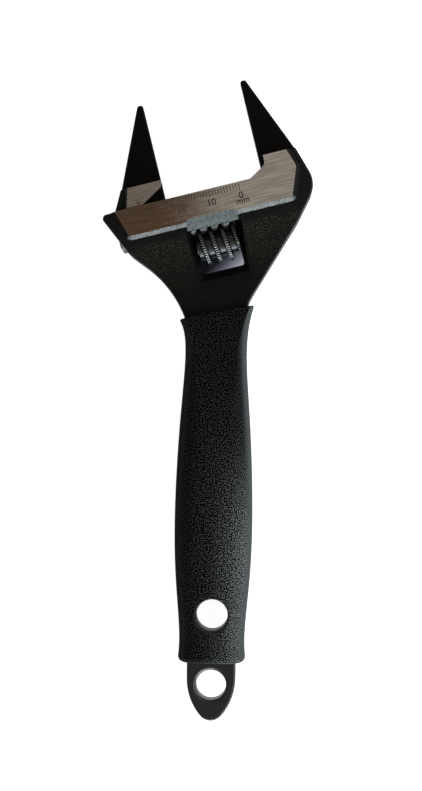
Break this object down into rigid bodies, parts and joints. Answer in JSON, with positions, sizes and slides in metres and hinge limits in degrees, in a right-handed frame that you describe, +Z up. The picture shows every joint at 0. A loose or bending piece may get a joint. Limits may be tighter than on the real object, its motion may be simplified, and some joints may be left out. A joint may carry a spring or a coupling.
{
  "type": "adjustable wrench",
  "caption": "Adjustable wrench with thin jaws, a worm-driven sliding jaw with a millimetre scale, a rubber grip and a hanging hole.",
  "frame": {"origin": "middle of the underside of the bounding box: the wrench lies flat", "axes": "+Y along the handle towards the jaws, +Z up through the thickness, +X towards the fixed jaw's side"},
  "size_m": [0.069, 0.2114, 0.0172],
  "materials": {
    "black_forging": "black coated forging with milled bare steel faces",
    "jaw_forging": "black coated forging with milled bare steel faces",
    "worm_steel": "blackened steel with bright knurled crests",
    "pin_steel": "plain steel",
    "spring_wire": "spring wire",
    "grip_rubber": "black moulded rubber with a leather grain"
  },
  "bodies": {
    "frame": {"wrench_body": "black_forging", "handle_grip": "grip_rubber", "worm_pin": "pin_steel", "worm_spring": "spring_wire"},
    "jaw": {"movable_jaw": "jaw_forging"},
    "worm": {"adjusting_worm": "worm_steel"}
  },
  "joints": [
    {"name": "jaw_slide", "type": "slide", "parent": "frame", "child": "jaw", "axis": [0.9681, 0.2504, 0], "range_m": [-0.007, 0.03295]},
    {"name": "worm_spin", "type": "hinge", "parent": "frame", "child": "worm", "pos_m": [0.00348, 0.05139, 0.00859], "axis": [0.9681, 0.2504, 0], "range_deg": [-3164, 673]}
  ],
  "couplings": [
    {"joint": "worm_spin", "follows": "jaw_slide", "rad_per_m": -1675.5}
  ]
}
